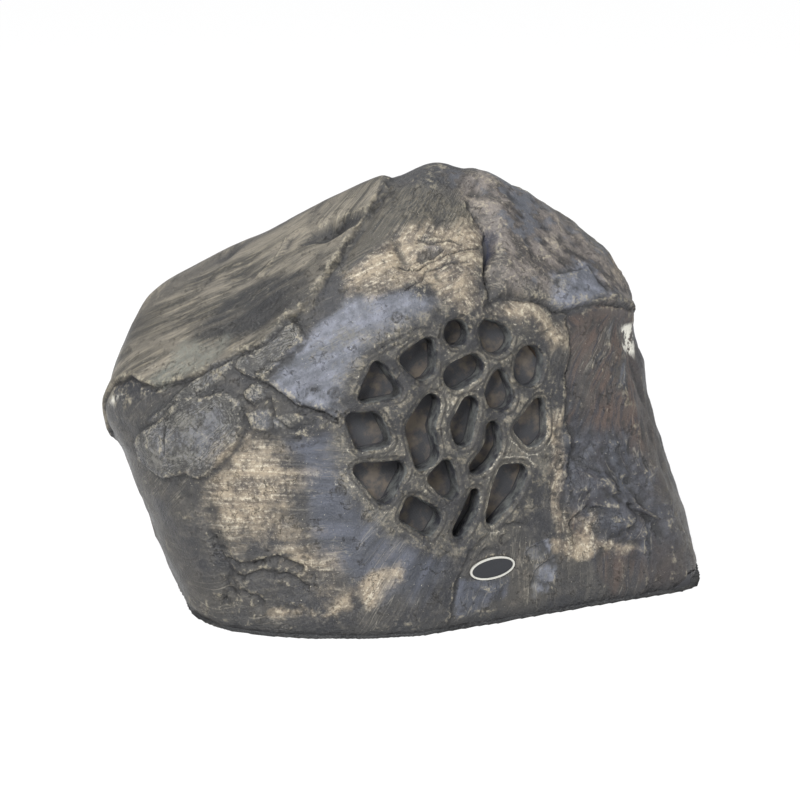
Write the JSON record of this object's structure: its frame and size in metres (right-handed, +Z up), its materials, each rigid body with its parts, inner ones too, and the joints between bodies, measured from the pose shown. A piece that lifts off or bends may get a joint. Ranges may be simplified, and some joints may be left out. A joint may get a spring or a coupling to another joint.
{
  "type": "garden speaker",
  "caption": "Outdoor loudspeaker moulded as a weathered boulder, with a grille of pebble-shaped openings, a coaxial driver inside and a sealed cable inlet at the rear.",
  "frame": {"origin": "on the ground, under the middle of the bounding box", "axes": "+Z up, -Y towards the front face with the grille, +X towards the right when looking at the front"},
  "size_m": [0.4701, 0.3695, 0.3295],
  "materials": {
    "rock": "semi-gloss moulded and hand-painted stone effect: charcoal, blue-grey, olive and tan",
    "badge": "satin, a light rim round a dark blank field",
    "cloth": "open woven acoustic cloth, dusty black",
    "spacer": "sealed fibreboard",
    "foam_rubber": "matt closed-cell foam",
    "basket_steel": "black powder coat",
    "butyl": "satin",
    "cone": "satin filled polypropylene",
    "spider": "resin-dipped cloth",
    "former": "satin",
    "winding": "enamelled copper wire",
    "plated_steel": "zinc plated",
    "ferrite": "matt ferrite",
    "tweeter_plastic": "fine texture",
    "dome": "doped cloth",
    "phenolic": "brown laminate",
    "screw_steel": "zinc plated",
    "base_plastic": "moulded, fine texture",
    "board": "solder mask over glass laminate",
    "capacitor": "wrapped film",
    "resistor": "cast cement",
    "terminal_plastic": "moulded",
    "gland_plastic": "moulded nylon",
    "gland_rubber": "matt"
  },
  "bodies": {
    "enclosure": {"rock_shell": "rock", "badge": "badge", "grille_cloth": "cloth", "spacer_ring": "spacer", "driver_gasket": "foam_rubber", "basket": "basket_steel", "surround": "butyl", "spider": "spider", "top_plate": "plated_steel", "magnet": "ferrite", "pole_plate": "plated_steel", "tweeter_post": "plated_steel", "post_nut": "plated_steel", "tweeter_housing": "tweeter_plastic", "tweeter_faceplate": "tweeter_plastic", "tweeter_dome": "dome", "terminal_strip": "phenolic", "driver_screws": "screw_steel", "base_plate": "base_plastic", "base_gasket": "foam_rubber", "base_screws": "screw_steel", "crossover_board": "board", "board_screws": "screw_steel", "bass_inductor": "winding", "treble_inductor": "winding", "capacitors": "capacitor", "resistor": "resistor", "terminal_block": "terminal_plastic", "gland_body": "gland_plastic", "gland_cap": "gland_plastic", "gland_grommet": "gland_rubber", "gland_washer": "gland_rubber", "gland_locknut": "gland_plastic"},
    "cone_assembly": {"cone": "cone", "voice_coil_former": "former", "voice_coil": "winding"}
  },
  "joints": [
    {"name": "cone_travel", "type": "slide", "parent": "enclosure", "child": "cone_assembly", "axis": [-0.187, -0.9619, 0.1994], "range_m": [-0.004, 0.004], "stiffness_N_per_m": 1200, "deforming": ["surround", "spider"]}
  ]
}
